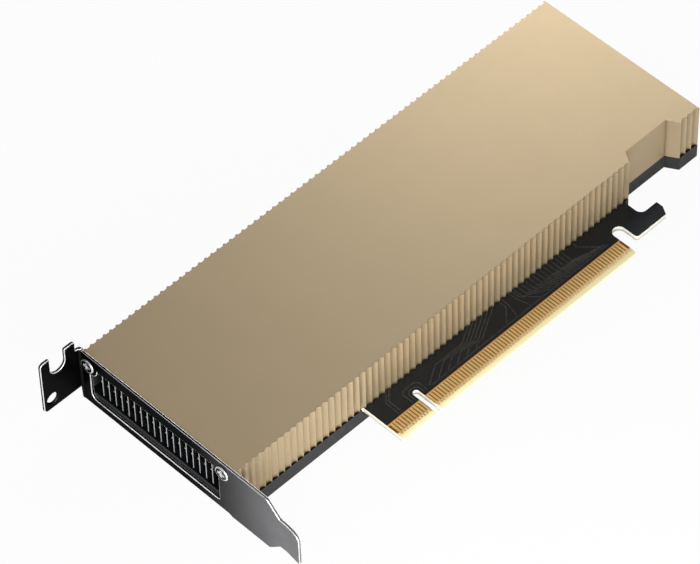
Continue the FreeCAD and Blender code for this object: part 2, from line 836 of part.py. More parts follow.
stages = power_stages()
save("power_stages", stages)
save("power_stage_pads", pads_over(stages, stage_thickness))
save("power_inductors", [centred_block(x, y, inductor_size, inductor_size, board_top,
                                       board_top + inductor_height)
                         for x, y in inductor_places()])
save("polymer_capacitors", row_of_chips(face_x + polymer_x, polymers, polymer_step, polymer_length,
                                        polymer_width, polymer_height))
save("ceramic_capacitors", row_of_chips(ceramic_x, ceramics, ceramic_step,
                                        ceramic_length, ceramic_width, ceramic_height))
save("firmware_chip", row_of_chips(firmware_x, 1, 0, firmware_length, firmware_width,
                                   firmware_thickness))
save("crystal", [centred_block(firmware_x, middle_y + firmware_width + crystal_width,
                               crystal_length, crystal_width, board_top,
                               board_top + crystal_thickness)])
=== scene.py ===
# %% [markdown]
# # A passive accelerator card
#
# The card lies flat with its cooler up: a fluted champagne cover over a block of fins, a black
# circuit board with a long edge connector, a black tray underneath and a slot bracket at one
# end. The packed model brings every piece at its real size, in metres, so this script only
# has to dress the pieces and light them. X runs from the bracket to the far end, Y from the
# connector to the long top edge, and Z points up out of the cooler.

# %% Load the frame
import math

import bmesh
import bpy
from mathutils import Matrix, Vector


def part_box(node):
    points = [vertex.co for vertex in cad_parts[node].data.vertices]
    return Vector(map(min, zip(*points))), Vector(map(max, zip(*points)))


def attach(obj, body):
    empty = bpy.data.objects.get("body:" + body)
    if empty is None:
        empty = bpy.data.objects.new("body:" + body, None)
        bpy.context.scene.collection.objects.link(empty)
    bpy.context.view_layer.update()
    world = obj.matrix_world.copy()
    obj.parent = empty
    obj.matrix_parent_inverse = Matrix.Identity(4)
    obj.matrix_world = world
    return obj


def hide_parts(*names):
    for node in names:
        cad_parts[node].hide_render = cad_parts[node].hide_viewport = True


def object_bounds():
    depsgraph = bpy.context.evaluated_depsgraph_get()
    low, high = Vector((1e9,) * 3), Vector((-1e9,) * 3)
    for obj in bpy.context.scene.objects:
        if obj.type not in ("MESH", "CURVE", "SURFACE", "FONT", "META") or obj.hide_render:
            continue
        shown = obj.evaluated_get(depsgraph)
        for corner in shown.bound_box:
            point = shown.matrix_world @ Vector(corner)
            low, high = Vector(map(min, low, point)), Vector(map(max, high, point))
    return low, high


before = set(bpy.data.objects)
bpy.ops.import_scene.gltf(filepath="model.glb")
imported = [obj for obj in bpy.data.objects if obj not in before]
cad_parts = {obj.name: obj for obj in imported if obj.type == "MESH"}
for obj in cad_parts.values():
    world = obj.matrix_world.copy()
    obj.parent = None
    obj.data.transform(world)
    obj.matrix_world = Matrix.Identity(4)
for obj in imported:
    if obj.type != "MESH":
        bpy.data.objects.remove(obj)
cad_low, cad_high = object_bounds()
mm = 0.001
print("nodes:", len(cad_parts))
print("card, mm:", [round(side / mm, 2) for side in Vector(cad_high) - Vector(cad_low)])

# %% [markdown]
# ## The camera
#
# It looks down on the card over its bracket end. A long lens from about a metre away keeps the
# long edges nearly parallel. Aiming by a point on the card, two angles and a small roll says
# more to a reader than a matrix of numbers would, and it is easy to change.

# %% Camera
aim = Vector((14.55 * mm, 46.155 * mm, 0))
view_turn = math.radians(43.547)        # from +Y towards +X, seen from above
view_down = math.radians(49.898)
view_roll = math.radians(-1.743)
view_distance = 1.1442

camera_data = bpy.data.cameras.new("Camera")
camera_data.lens = 229.353
camera_data.sensor_width = 36
camera = bpy.data.objects.new("Camera", camera_data)
bpy.context.scene.collection.objects.link(camera)
heading = Vector((math.sin(view_turn), math.cos(view_turn), 0))
line_of_sight = heading * math.cos(view_down) - Vector((0, 0, math.sin(view_down)))
level_view = line_of_sight.to_track_quat("-Z", "Y").to_matrix().to_4x4()
camera.matrix_world = (Matrix.Translation(aim - line_of_sight * view_distance) @ level_view
                       @ Matrix.Rotation(view_roll, 4, "Z"))
bpy.context.scene.camera = camera
print("camera at, mm:", [round(c / mm, 1) for c in camera.matrix_world.translation])

# %% [markdown]
# ## Materials
#
# Every finish here is made from nodes, so it needs no picture files. The object's own
# coordinates are in metres, which lets a grain or a scratch have its real size: a noise of
# scale 4000 has a grain every quarter of a millimetre. One class makes the shader, and its
# small methods add colour that wanders a little or changes along the piece, painted shade that
# deepens in hollows, uneven gloss and a fine relief. Each method returns the finish, so a
# recipe reads as one list.


# %% Helpers for materials
class Finish:
    """A named material, its shader and the nodes that feed it."""

    def __init__(self, name, colour, roughness, metallic=0.0):
        self.material = bpy.data.materials.new(name)
        self.material.use_nodes = True
        self.nodes = self.material.node_tree.nodes
        self.links = self.material.node_tree.links
        self.shader = self.nodes["Principled BSDF"]
        self.colour = colour
        self.roughness = roughness
        self.shader.inputs["Base Color"].default_value = (*colour, 1)
        self.shader.inputs["Roughness"].default_value = roughness
        self.shader.inputs["Metallic"].default_value = metallic
        self.place = self.nodes.new("ShaderNodeTexCoord").outputs["Object"]

    def set(self, **values):
        """Constants go straight on the shader's own sockets."""
        for socket, value in values.items():
            self.shader.inputs[socket.replace("_", " ")].default_value = value
        return self

    def noise(self, size, detail=2.0, stretch=(1, 1, 1)):
        """Noise whose grains are about size metres across, drawn out along the stretched axes."""
        mapping = self.nodes.new("ShaderNodeMapping")
        mapping.inputs["Scale"].default_value = [1 / s for s in stretch]
        self.links.new(self.place, mapping.inputs["Vector"])
        noise = self.nodes.new("ShaderNodeTexNoise")
        noise.inputs["Scale"].default_value = 1 / size
        noise.inputs["Detail"].default_value = detail
        self.links.new(mapping.outputs["Vector"], noise.inputs["Vector"])
        return noise.outputs["Fac"]

    def between(self, source, low, high, at_low=0.35, at_high=0.65, smooth=False):
        """Map a value to a range of numbers, which need not run upwards."""
        node = self.nodes.new("ShaderNodeMapRange")
        node.interpolation_type = "SMOOTHSTEP" if smooth else "LINEAR"
        node.inputs["From Min"].default_value = at_low
        node.inputs["From Max"].default_value = at_high
        node.inputs["To Min"].default_value = low
        node.inputs["To Max"].default_value = high
        self.links.new(source, node.inputs["Value"])
        return node.outputs["Result"]

    def blend(self, factor, other):
        """Mix another colour over what the shader's colour is so far."""
        mix = self.nodes.new("ShaderNodeMix")
        mix.data_type = "RGBA"
        base = self.shader.inputs["Base Color"]
        mix.inputs["A"].default_value = base.default_value
        if base.is_linked:
            self.links.new(base.links[0].from_socket, mix.inputs["A"])
        mix.inputs["B"].default_value = (*other, 1)
        self.links.new(factor, mix.inputs["Factor"])
        self.links.new(mix.outputs["Result"], base)
        return self

    def tint(self, size, other, share=1.0, stretch=(1, 1, 1)):
        """The colour wanders towards another one in soft patches."""
        return self.blend(self.between(self.noise(size, 3, stretch), 0, share), other)

    def along(self, axis, start, end, other):
        """The colour changes along an axis, from its own at start to another at end."""
        parts = self.nodes.new("ShaderNodeSeparateXYZ")
        self.links.new(self.place, parts.inputs["Vector"])
        place = parts.outputs[axis]
        if start < end:
            return self.blend(self.between(place, 0, 1, start, end, True), other)
        return self.blend(self.between(place, 1, 0, end, start, True), other)

    def shade_in_hollows(self, reach, other):
        """A darker colour painted where the surface folds in on itself: painted shade, as in the
        bottom of a groove.
        """
        openness = self.nodes.new("ShaderNodeAmbientOcclusion")
        openness.samples = 6
        openness.inputs["Distance"].default_value = reach
        closed_in, open_air = 0.62, 0.95
        factor = self.between(openness.outputs["AO"], 1, 0, closed_in, open_air)
        return self.blend(factor, other)

    def uneven_gloss(self, size, swing, stretch=(1, 1, 1)):
        """Roughness a little above and below the finish's own."""
        value = self.between(self.noise(size, 3, stretch),
                             self.roughness - swing, self.roughness + swing)
        self.links.new(value, self.shader.inputs["Roughness"])
        return self

    def relief(self, size, depth, detail=2.0, stretch=(1, 1, 1)):
        """A fine bump of about this depth in metres."""
        bump = self.nodes.new("ShaderNodeBump")
        bump.inputs["Distance"].default_value = depth
        bump.inputs["Strength"].default_value = 1.0
        self.links.new(self.noise(size, detail, stretch), bump.inputs["Height"])
        last = self.shader.inputs["Normal"]
        if last.is_linked:
            self.links.new(last.links[0].from_socket, bump.inputs["Normal"])
        self.links.new(bump.outputs["Normal"], last)
        return self


print("a finish can:", [name for name in vars(Finish) if not name.startswith("_")])

# %% [markdown]
# ### The metals
#
# The cover is bead-blasted and anodised, which leaves a satin surface with a very fine grain.
# The hollows of the flutes get painted shade, so their bottoms stay darker than the crests.
# The bracket is plated with black nickel, almost black over most of its length; a painted
# reflection makes it greyer towards the tongue. Its roundings get a painted highlight, a
# bright finish whose thin line draws the bracket's outline. The fins are stamped from sheet;
# painted shade makes their wide sides near black, and only their sheared edges show bare aluminium.

# %% Metals
champagne = (Finish("champagne_anodised", (0.52, 0.41, 0.26), 0.5, 0.8)
             .tint(12 * mm, (0.53, 0.418, 0.266))
             # painted shade: the flutes' hollows darken towards a deep brown
             .shade_in_hollows(1.2 * mm, (0.17, 0.12, 0.06))
             .uneven_gloss(3 * mm, 0.008)
             .relief(0.22 * mm, 0.0012 * mm))
black_nickel = (Finish("black_nickel", (0.016, 0.016, 0.0165), 0.34, 1.0)
                .set(Specular_Tint=(0.45, 0.45, 0.45, 1))
                # painted reflection: the plating turns grey towards the tongue
                .along("Y", 30 * mm, -9 * mm, (0.36, 0.36, 0.37))
                .tint(9 * mm, (0.02, 0.02, 0.02), 0.12)
                .uneven_gloss(9 * mm, 0.02)
                .relief(0.15 * mm, 0.001 * mm))
# painted highlight: a bright finish for the roundings of the bracket and its screws
painted_glint = (Finish("painted_edge_glint", (0.95, 0.95, 0.95), 0.45, 0.7)
               .tint(1.5 * mm, (0.75, 0.75, 0.75))
               .uneven_gloss(0.7 * mm, 0.08))
hard_gold = (Finish("hard_gold", (1.0, 0.74, 0.36), 0.42, 0.7)
             .tint(0.9 * mm, (0.92, 0.64, 0.26))
             .uneven_gloss(0.8 * mm, 0.05)
             .relief(0.1 * mm, 0.002 * mm))
plating_bar = (Finish("gold_plating_bar", (1.0, 0.60, 0.22), 0.4, 0.6)
               .tint(1.5 * mm, (0.92, 0.50, 0.15))
               .uneven_gloss(0.6 * mm, 0.05))
bright_steel = (Finish("bright_steel", (0.66, 0.66, 0.67), 0.25, 1.0)
                .tint(2 * mm, (0.58, 0.58, 0.60))
                .uneven_gloss(1 * mm, 0.06)
                .relief(0.1 * mm, 0.002 * mm))
spring_steel = (Finish("spring_steel", (0.45, 0.45, 0.46), 0.32, 1.0)
                .tint(4 * mm, (0.38, 0.38, 0.40))
                .uneven_gloss(1.5 * mm, 0.06, (1, 6, 1))
                .relief(0.08 * mm, 0.002 * mm, 2, (1, 20, 1)))
fin_metal = (Finish("fin_aluminium", (0.72, 0.73, 0.74), 0.32, 1.0)
             .tint(3 * mm, (0.64, 0.65, 0.67))
             .uneven_gloss(2 * mm, 0.05, (8, 1, 1))
             .relief(0.1 * mm, 0.003 * mm, 2, (12, 1, 1)))
# painted shade: near-black for the fins' wide sides, which stand in shade between the fins
fin_side_shade = (Finish("fin_painted_shade", (0.10, 0.10, 0.105), 0.4, 1.0)
               .tint(3 * mm, (0.07, 0.07, 0.075))
               .uneven_gloss(2 * mm, 0.05, (8, 1, 1))
               .relief(0.1 * mm, 0.003 * mm, 2, (12, 1, 1)))
base_copper = (Finish("base_copper", (0.72, 0.36, 0.22), 0.34, 1.0)
               .tint(6 * mm, (0.60, 0.28, 0.16))
               .uneven_gloss(2 * mm, 0.06))
silicon = (Finish("polished_silicon", (0.22, 0.24, 0.29), 0.12, 0.9)
           .tint(5 * mm, (0.18, 0.20, 0.26)))
print("metals:", len(bpy.data.materials))

# %% [markdown]
# ### Everything that is not metal
#
# The board is glass laminate under a black solder mask. The tongue has no mask, so brown
# laminate shows between the gold contacts, and it turns a pale straw colour at the lower end,
# where the bevel cuts into the glass. The routed edges are cream, darker in their lower half.

# %% Coatings, laminate and chips
tray_black = (Finish("tray_satin_black", (0.014, 0.014, 0.015), 0.5)
              .set(Specular_IOR_Level=0.4)
              .tint(5 * mm, (0.018, 0.018, 0.019))
              .uneven_gloss(2 * mm, 0.05)
              .relief(0.3 * mm, 0.004 * mm))
# painted shade: the deeper black of the seam under the cover
painted_seam_shade = (Finish("seam_painted_shade", (0.003, 0.003, 0.003), 0.8)
              .set(Specular_IOR_Level=0.1)
              .tint(1 * mm, (0.006, 0.006, 0.006))
              .relief(0.3 * mm, 0.004 * mm))
solder_mask = (Finish("black_solder_mask", (0.011, 0.0145, 0.0185), 0.34)
               .set(Specular_IOR_Level=0.22)
               .tint(4 * mm, (0.013, 0.0165, 0.021))
               .uneven_gloss(3 * mm, 0.05)
               .relief(0.35 * mm, 0.003 * mm))
trace_mask = (Finish("mask_over_copper", (0.036, 0.040, 0.044), 0.3)
              .tint(3 * mm, (0.048, 0.052, 0.056))
              .uneven_gloss(1 * mm, 0.05))
laminate_edge = (Finish("cream_laminate", (0.93, 0.92, 0.84), 0.55)
                 .along("Z", -0.1 * mm, -0.5 * mm, (0.50, 0.50, 0.40))
                 .tint(0.5 * mm, (0.80, 0.78, 0.64), 0.5, (20, 20, 1))
                 .relief(0.2 * mm, 0.01 * mm))
bare_laminate = (Finish("bare_laminate", (0.23, 0.085, 0.003), 0.5)
                 .tint(1 * mm, (0.28, 0.11, 0.006))
                 .set(Specular_IOR_Level=0.1)
                 .along("Y", 2.4 * mm, 1.8 * mm, (1.0, 0.90, 0.55))
                 .relief(0.2 * mm, 0.004 * mm))
green_laminate = (Finish("green_laminate", (0.03, 0.12, 0.05), 0.35)
                  .tint(2 * mm, (0.04, 0.15, 0.06))
                  .relief(0.4 * mm, 0.003 * mm))
moulded_epoxy = (Finish("moulded_epoxy", (0.022, 0.022, 0.023), 0.55)
                 .tint(1 * mm, (0.03, 0.03, 0.03))
                 .relief(0.08 * mm, 0.004 * mm))
silicone_pad = (Finish("silicone_pad", (0.36, 0.44, 0.54), 0.8)
                .tint(0.6 * mm, (0.45, 0.52, 0.60))
                .relief(0.3 * mm, 0.02 * mm))
grey_paste = (Finish("thermal_paste", (0.52, 0.53, 0.55), 0.6)
              .tint(1 * mm, (0.44, 0.45, 0.47))
              .relief(0.5 * mm, 0.02 * mm))
ferrite = (Finish("pressed_ferrite", (0.07, 0.07, 0.072), 0.6)
           .tint(0.4 * mm, (0.11, 0.11, 0.11))
           .relief(0.15 * mm, 0.01 * mm))
tan_ceramic = (Finish("tan_ceramic", (0.42, 0.29, 0.17), 0.4)
               .tint(0.8 * mm, (0.36, 0.24, 0.14)))
# painted shade too: this black also fills the inside of the cover
film_and_painted_shade = (Finish("insulating_film", (0.03, 0.03, 0.032), 0.38)
              .tint(8 * mm, (0.04, 0.04, 0.042))
              .relief(6 * mm, 0.03 * mm, 1))
print("finishes in all:", len(bpy.data.materials))

# %% [markdown]
# ### Dress the nodes
#
# Every node of the model gets its own finish, the hidden ones too: the card may be opened or
# cut in half in another picture. Pieces that are dressed further below replace their node.

# %% Dress the CAD nodes
PAINT = {
    "cover": champagne, "io_bracket": black_nickel, "bracket_screws": black_nickel,
    "back_tray": tray_black, "insulating_film": film_and_painted_shade, "circuit_board": solder_mask,
    "contacts_front": hard_gold, "contacts_back": hard_gold,
    "tray_screws": bright_steel, "core_screws": bright_steel, "core_clamp": spring_steel,
    "heatsink_fins": fin_metal, "heatsink_base": base_copper,
    "gpu_package": green_laminate, "gpu_die": silicon, "gpu_stiffener": spring_steel,
    "thermal_paste": grey_paste, "memory_chips": moulded_epoxy, "memory_pads": silicone_pad,
    "power_stages": moulded_epoxy, "power_stage_pads": silicone_pad,
    "power_inductors": ferrite, "polymer_capacitors": moulded_epoxy,
    "ceramic_capacitors": tan_ceramic, "firmware_chip": moulded_epoxy, "crystal": bright_steel,
}
for name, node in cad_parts.items():
    node.data.materials.clear()
    node.data.materials.append(PAINT[name].material)
print("nodes dressed:", len(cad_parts))

# %% [markdown]
# ## Real edges for the CAD pieces
#
# A packed solid has perfectly sharp edges, and nothing real does: the thin bright line along
# an edge is its small rounding catching the light. A piece is dressed from a copy of its node.
# The copy's triangles are joined into whole faces again, the edges worth rounding are
# bevelled, and the node itself is hidden. A bevel modifier could do this too, but choosing the
# edges in code lets the rim of a flute and the corner of a bracket have their own size, and
# the new faces can have a finish of their own.


# %% Helpers for dressed pieces
same_place = 0.01 * mm          # heights and places closer than this count as equal
merge_distance = 0.002 * mm     # points closer than this become one
flat_angle = math.radians(1)    # faces that meet at less than this become one


def working_copy(node):
    """The node's mesh with its flat faces whole again."""
    bm = bmesh.new()
    bm.from_mesh(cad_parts[node].data)
    bmesh.ops.remove_doubles(bm, verts=bm.verts, dist=merge_distance)
    bmesh.ops.dissolve_limit(bm, angle_limit=flat_angle, verts=bm.verts, edges=bm.edges)
    bmesh.ops.recalc_face_normals(bm, faces=bm.faces)
    return bm


def sharp_edges(bm, least_angle=40, chosen=None):
    """Outer and inner corners, all of them or those that pass a test."""
    found = []
    for edge in bm.edges:
        if len(edge.link_faces) == 2 and edge.calc_face_angle(0) > math.radians(least_angle):
            if chosen is None or chosen(edge):
                found.append(edge)
    return found


def level(edge, height):
    """Both ends of the edge lie at this height."""
    return all(abs(vert.co.z - height) < same_place for vert in edge.verts)


def soften(bm, edges, width, segments=2, finish=-1):
    """Round these edges; the new faces take the finish with this index."""
    bmesh.ops.bevel(bm, geom=edges, offset=width, offset_type="OFFSET", segments=segments,
                    profile=0.5, affect="EDGES", clamp_overlap=False, material=finish)


def show(bm, name, finishes, replaced=(), smooth=35):
    """Put a finished mesh in the scene as a piece of the card."""
    mesh = bpy.data.meshes.new(name)
    bm.to_mesh(mesh)
    bm.free()
    for polygon in mesh.polygons:
        polygon.use_smooth = True
    mesh.set_sharp_from_angle(angle=math.radians(smooth))
    for finish in finishes:
        mesh.materials.append(finish.material)
    piece = bpy.data.objects.new(name, mesh)
    bpy.context.scene.collection.objects.link(piece)
    weighted = piece.modifiers.new("flat_faces_stay_flat", "WEIGHTED_NORMAL")
    weighted.keep_sharp = True
    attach(piece, "root")
    if replaced:
        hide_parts(*replaced)
    print(name, "faces:", len(mesh.polygons))
    return piece


print("points merged within, mm:", merge_distance / mm)

# %% [markdown]
# ## The fluted cover
#
# The cover is milled from one piece of aluminium: 76 concave flutes run down each long side
# and meet in crests. The solid follows each flute with three chords. Here more points are set
# along every chord and moved out to the true circle, so the scallops are round at the rim, and
# the upper rim and the crests get a fine rounding that catches the light. Modelling one
# flute and repeating it with an array would be shorter, but the notch, the bosses and the
# inside would then have to be made again. The lower rim gets a thin lip that closes most of
# the seam over the board. The inside gets painted shade: the black finish of the insulating film.

# %% The flutes' measures
flute_count = 76
flute_depth = 0.65 * mm
flute_end_land = 0.35 * mm      # plain wall before the first flute and after the last

cover_low, cover_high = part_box("cover")
first_flute = cover_low.x + flute_end_land
flute_pitch = (cover_high.x - cover_low.x - 2 * flute_end_land) / flute_count
flute_radius = ((flute_pitch / 2) ** 2 + flute_depth ** 2) / (2 * flute_depth)
print("flute pitch and radius, mm:", round(flute_pitch / mm, 3), round(flute_radius / mm, 3))

# %% [markdown]
# A flute is an arc on a circle whose centre lies outside the cover. Finding that centre for a
# point tells both whether the point is on a flute and where the true circle runs. Crests
# belong to two flutes at once, so they stay where the model has them.


# %% Round the flutes
points_per_chord = 3


def flute_centre(point):
    """The centre of the flute whose wall holds this point, or None off the flutes."""
    index = math.floor((point.x - first_flute) / flute_pitch)
    centre_x = first_flute + (index + 0.5) * flute_pitch
    at_crest = abs(point.x - centre_x) > flute_pitch / 2 - same_place
    if at_crest or not 0 <= index < flute_count:
        return None
    for wall_y, inward in ((cover_low.y, 1), (cover_high.y, -1)):
        if -same_place < (point.y - wall_y) * inward < flute_depth + 5 * same_place:
            return Vector((centre_x, wall_y - inward * (flute_radius - flute_depth)))
    return None


def on_flute(edge):
    """A level edge that is one of the chords of a flute."""
    a, b = (vert.co for vert in edge.verts)
    return abs(a.z - b.z) < same_place and flute_centre((a + b) / 2) is not None


def round_flutes(bm):
    """Set more points on every chord and move them out to the circle; count the chords."""
    chords = [edge for edge in bm.edges if on_flute(edge)]
    bmesh.ops.subdivide_edges(bm, edges=chords, cuts=points_per_chord - 1)
    for vert in bm.verts:
        centre = flute_centre(vert.co)
        if centre is not None:
            arm = Vector((vert.co.x, vert.co.y)) - centre
            arm = arm.normalized() * flute_radius
            vert.co.x = centre.x + arm.x
            vert.co.y = centre.y + arm.y
    return len(chords)


cover = working_copy("cover")
print("chords rounded:", round_flutes(cover))

# %% [markdown]
# The lip, the rounding and the painted shade inside go on the rounded copy. All edges are
# bevelled in one go: a second bevel would have to deal with the small faces that the first one
# made.


# %% Cover
rim_lip = 0.35 * mm
rim_rounding = 0.1 * mm
wall_depth = 1 * mm             # the connector side's wall lies within this of the outside
painted_shade_depth = 0.95 * mm          # deeper than the flutes, so what lies past it is inside
painted_shade_gap = 0.3 * mm             # from the roof's top and the open ends
cover_rim_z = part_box("back_tray")[1].z


def on_crest(edge):
    """An upright edge at the outside, where two flutes meet."""
    a, b = (vert.co for vert in edge.verts)
    upright = abs(a.x - b.x) + abs(a.y - b.y) < same_place
    outermost = min(a.y - cover_low.y, cover_high.y - a.y) < same_place
    return upright and outermost


def inside_the_cover(face):
    """Past the walls, under the roof and not part of the notch's outer wall."""
    point = face.calc_center_median()
    faces_connector = face.normal.y < -0.1
    if faces_connector and point.y < (cover_low.y + cover_high.y) / 2:
        return False
    return (cover_low.y + painted_shade_depth < point.y < cover_high.y - painted_shade_depth
            and cover_low.x + painted_shade_gap < point.x < cover_high.x - painted_shade_gap
            and point.z < cover_high.z - painted_shade_gap)


for vert in cover.verts:
    on_connector_side = vert.co.y < cover_low.y + wall_depth
    if on_connector_side and abs(vert.co.z - cover_rim_z) < same_place:
        vert.co.z -= rim_lip
rims = sharp_edges(cover, 60, lambda edge: level(edge, cover_high.z))
crests = sharp_edges(cover, 60, on_crest)
print("rim and crest edges:", len(rims), len(crests))
soften(cover, rims + crests, rim_rounding, 2)
for face in cover.faces:
    # painted shade: faces inside the cover take the film's black
    face.material_index = int(inside_the_cover(face))
show(cover, "fluted_cover", [champagne, film_and_painted_shade], ["cover"], 30)

# %% [markdown]
# ## The slot bracket and its screws
#
# The bracket is one bent sheet with a window for the hot air, a tab for the slot screw and a
# tongue that enters the chassis. Its roundings get a second finish, a painted highlight: a
# bright colour that shines from any side.

# %% Bracket
bracket_rounding = 0.2 * mm

bracket = working_copy("io_bracket")
# painted highlight: the new roundings take the bright finish
soften(bracket, sharp_edges(bracket, 50), bracket_rounding, 2, 1)
show(bracket, "slot_bracket", [black_nickel, painted_glint], ["io_bracket"])

# %% [markdown]
# The two screws are plated like the sheet. The roundings on the rim of a head and on the
# edges of its recess get the painted highlight, so they show as a bright ring and a bright cross.

# %% Bracket screws
screw_rounding = 0.18 * mm

screws = working_copy("bracket_screws")
# painted highlight: the new roundings take the bright finish
soften(screws, sharp_edges(screws, 35), screw_rounding, 2, 1)
show(screws, "round_headed_screws", [black_nickel, painted_glint], ["bracket_screws"])

# %% [markdown]
# ## The back tray
#
# Only its rim shows from above: a satin black bar under the cover. The rim's top face lies in
# the seam between tray and cover, where no light gets in, and gets painted shade: a much deeper
# black.

# %% Tray
tray_rounding = 0.08 * mm

tray = working_copy("back_tray")
tray_rim = sharp_edges(tray, 50, lambda edge: level(edge, cover_rim_z))
soften(tray, tray_rim, tray_rounding, 1)
for face in tray.faces:
    # painted shade: the rim's upward faces take the seam's deeper black
    face.material_index = int(face.normal.z > 0.9 and face.calc_center_median().z > 0)
show(tray, "satin_tray", [tray_black, painted_seam_shade], ["back_tray"])

# %% [markdown]
# ## The circuit board
#
# The board's faces are sorted by where they are: mask on the flat faces, bare laminate on the
# tongue below the mask's edge, cream laminate on every routed edge. A cut along the mask's
# edge gives the two finishes a straight border.

# %% Board
mask_edge = 5.75 * mm
past_contacts = 2 * mm
board_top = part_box("circuit_board")[1].z
contacts_low, contacts_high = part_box("contacts_front")

board = working_copy("circuit_board")
bmesh.ops.bisect_plane(board, geom=board.verts[:] + board.edges[:] + board.faces[:],
                       plane_co=(0, mask_edge, 0), plane_no=(0, 1, 0), dist=1e-7)
for face in board.faces:
    centre = face.calc_center_median()
    flat = abs(face.normal.z) > 0.9
    on_tongue = centre.y < mask_edge and centre.x < contacts_high.x + past_contacts
    on_bevel = centre.y < same_place
    face.material_index = 1 if on_tongue and (flat or on_bevel) else (0 if flat else 2)
show(board, "card_board", [solder_mask, bare_laminate, laminate_edge],
     ["circuit_board"])

# %% [markdown]
# ## Gold contacts
#
# The contacts are the node's own thin plates with a slight rounding. While the boards are
# plated they hang together by a bar, and what is left of it shows as a bright gold line along
# the mask's edge, broken only by the key slot.


# %% Contacts and plating bar
def add_block(bm, low, high):
    """A plain block between two corners."""
    low, high = Vector(low), Vector(high)
    place = Matrix.Translation((low + high) / 2) @ Matrix.Diagonal((*(high - low), 1))
    bmesh.ops.create_cube(bm, size=1, matrix=place)


plating_rounding = 0.02 * mm
fingers = working_copy("contacts_front")
soften(fingers, sharp_edges(fingers), plating_rounding, 1)
show(fingers, "gold_fingers", [hard_gold], ["contacts_front"])

half_key = 0.95 * mm
tongue_past_contacts = 0.7 * mm
bar_overlap = 0.05 * mm         # onto the contacts below and the mask above
bar_rise = 0.01 * mm            # over the contacts
tongue_ends = (contacts_low.x - tongue_past_contacts, contacts_high.x + tongue_past_contacts)
bar = bmesh.new()
for start, end in ((tongue_ends[0], -half_key), (half_key, tongue_ends[1])):
    add_block(bar, (start, contacts_high.y - bar_overlap, board_top),
              (end, mask_edge + bar_overlap, contacts_high.z + bar_rise))
soften(bar, sharp_edges(bar), plating_rounding, 1)
show(bar, "plating_bar", [plating_bar])

# %% [markdown]
# ## Traces under the mask
#
# Copper traces raise the mask by a hair, so they show only where light grazes the board. Each
# one is a shallow ridge with sloping sides, drawn along a line of corners. The lines come in
# families, as a layout program lays them: a pair beside the left edge, a pair round the key,
# lanes that climb away from the connector, a few that spread like a tree's roots, a fan that
# sinks towards the latch and one long lane along the contacts.


# %% Helpers for traces
trace_width = 0.22 * mm
trace_height = 0.02 * mm
ridge_profile = ((-0.5, 0), (-0.25, 1), (0.25, 1), (0.5, 0))    # shares of width and height


def add_ridge(bm, corners):
    """A shallow ridge along a line of corners, mitred where it bends."""
    rows = []
    for index, corner in enumerate(corners):
        here = Vector(corner)
        arms = []
        if index > 0:
            arms.append((here - Vector(corners[index - 1])).normalized())
        if index < len(corners) - 1:
            arms.append((Vector(corners[index + 1]) - here).normalized())
        along = sum(arms, Vector((0, 0))).normalized()
        aside = Vector((-along.y, along.x)) / max(along.dot(arms[0]), 0.5)
        row = []
        for share, height in ridge_profile:
            point = here + aside * share * trace_width
            row.append(bm.verts.new((point.x, point.y, board_top + height * trace_height)))
        rows.append(row)
    for row, following in zip(rows, rows[1:]):
        for side in range(3):
            bm.faces.new((row[side], row[side + 1], following[side + 1], following[side]))


def rising(x, y, angle, to_y):
    """The point where a line from x, y at this angle reaches a height."""
    return x + (to_y - y) / math.tan(math.radians(angle)), to_y


print("trace width and height, mm:", trace_width / mm, trace_height / mm)

# %% [markdown]
# Each family starts at or just above the first lane, which runs along the contacts. The ones
# that climb end under the cover, where nothing shows them any more.


# %% Traces
first_lane_y = 6.9 * mm
hidden_y = cover_low.y + 0.7 * mm
key_top_y = 8.9 * mm
traces = bmesh.new()

# the pair beside the left edge
pair_low_y, pair_bend_y = first_lane_y - 0.6 * mm, 11 * mm
for x in (-7.7 * mm, -6.7 * mm):
    add_ridge(traces, [(x, pair_low_y), (x, pair_bend_y), rising(x, pair_bend_y, 45, hidden_y)])

# the pair round the key, with its corners cut
cut = 0.9 * mm
for reach in (1.75 * mm, 2.75 * mm):
    shoulder_y = key_top_y + reach - 2 * cut
    add_ridge(traces, [(-reach, pair_low_y), (-reach, shoulder_y),
                       (-reach + cut, shoulder_y + cut), (reach - cut, shoulder_y + cut),
                       (reach, shoulder_y), (reach, first_lane_y)])

# lanes that climb, run level and climb again
for lane in range(6):
    start = ((4 + 3.4 * lane) * mm, first_lane_y + 0.4 * mm)
    level_y = (10.9 - 0.55 * lane) * mm
    turn = ((19.5 + 0.9 * lane) * mm, level_y)
    add_ridge(traces, [start, rising(*start, 32, level_y), turn, rising(*turn, 30, hidden_y)])

# the root: two on each side of its middle
root_x, root_elbow_y, root_low_y = 38.3 * mm, 11.2 * mm, first_lane_y + 0.5 * mm
for side in (-1, 1):
    for foot, elbow in ((6.2 * mm, 2.4 * mm), (2.5 * mm, 1.4 * mm)):
        elbow_x = root_x + side * elbow
        add_ridge(traces, [(root_x + side * foot, root_low_y), (elbow_x, root_elbow_y),
                           (elbow_x, hidden_y)])

# the fan, each lane a degree flatter than the one before
for lane in range(14):
    end = Vector(((48 + 1.6 * lane) * mm, root_low_y))
    start_x = (41.5 + 1.35 * lane) * mm
    start_y = end.y + (end.x - start_x) * math.tan(math.radians(27 - lane))
    add_ridge(traces, [(start_x, hidden_y), (start_x, start_y), end])

# a single one that turns towards the latch, and the long lane along the contacts
single_x, single_bend_y, single_low_y = 63.2 * mm, 12 * mm, 7.5 * mm
add_ridge(traces, [(single_x, hidden_y), (single_x, single_bend_y),
                   rising(single_x, single_bend_y, -45, single_low_y)])
add_ridge(traces, [(4.4 * mm, first_lane_y), (69.4 * mm, first_lane_y)])
show(traces, "traces", [trace_mask], smooth=10)

